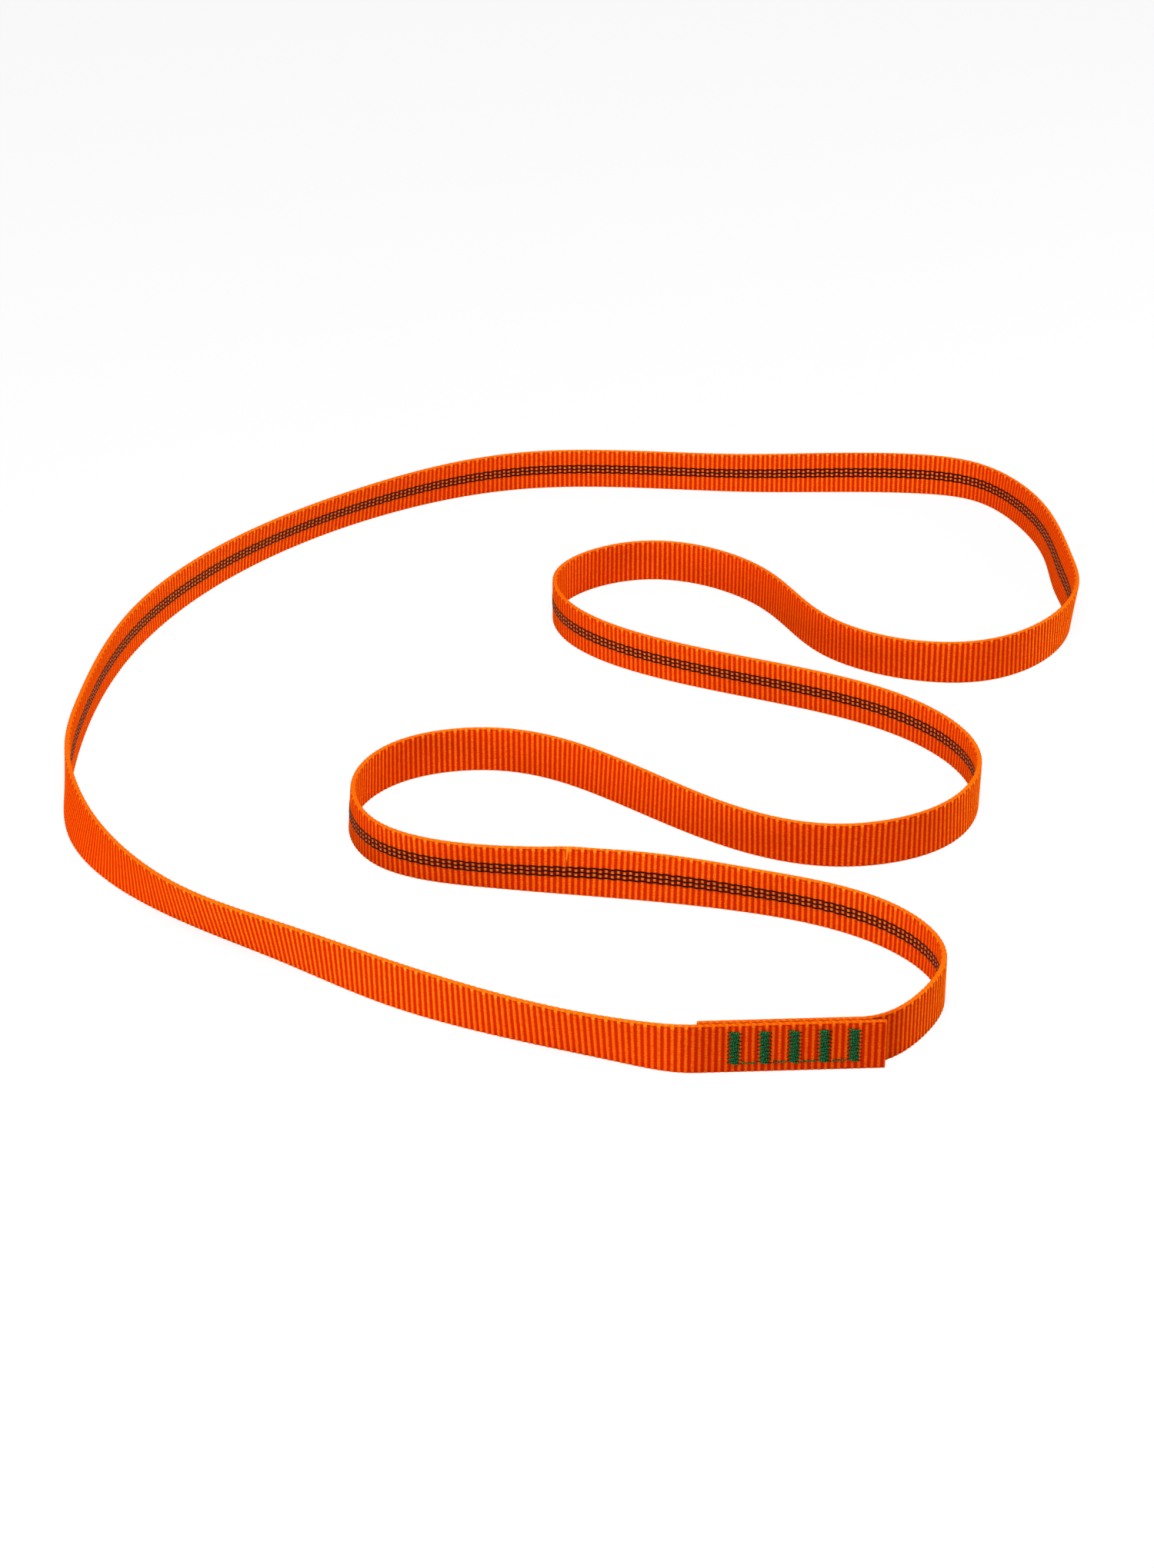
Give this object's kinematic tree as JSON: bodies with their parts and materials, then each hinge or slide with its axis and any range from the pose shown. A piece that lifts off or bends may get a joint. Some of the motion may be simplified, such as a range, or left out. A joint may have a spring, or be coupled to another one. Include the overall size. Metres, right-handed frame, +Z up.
{
  "type": "flat web sling",
  "caption": "Closed loop of ribbed flat climbing web, lapped and joined by rows of zigzag bar tacks, standing on edge in loose curves.",
  "frame": {"origin": "middle of the floor under the sling, at the height of the web's lower edge", "axes": "+Z up across the web's width, +X to the right and +Y away as the sling is seen from the splice's side"},
  "size_m": [0.4266, 0.527, 0.019],
  "materials": {
    "web": "ribbed woven nylon, orange, slight sheen on the ribs",
    "tracer_yarn": "woven nylon yarn, near-black maroon",
    "needle_thread": "bonded nylon sewing thread, dark green, lustrous",
    "shuttle_thread": "bonded nylon sewing thread, dark green, lustrous"
  },
  "bodies": {
    "root": {"webbing": "web", "tracer_upper": "tracer_yarn", "tracer_middle": "tracer_yarn", "tracer_lower": "tracer_yarn", "front_tack_1": "needle_thread", "front_tack_2": "needle_thread", "front_tack_3": "needle_thread", "front_tack_4": "needle_thread", "front_tack_5": "needle_thread", "rear_tack_1": "shuttle_thread", "rear_tack_2": "shuttle_thread", "rear_tack_3": "shuttle_thread", "rear_tack_4": "shuttle_thread", "rear_tack_5": "shuttle_thread", "front_run_1": "needle_thread", "front_run_2": "needle_thread", "front_run_3": "needle_thread", "front_run_4": "needle_thread", "rear_run_1": "shuttle_thread", "rear_run_2": "shuttle_thread", "rear_run_3": "shuttle_thread", "rear_run_4": "shuttle_thread"}
  },
  "joints": []
}
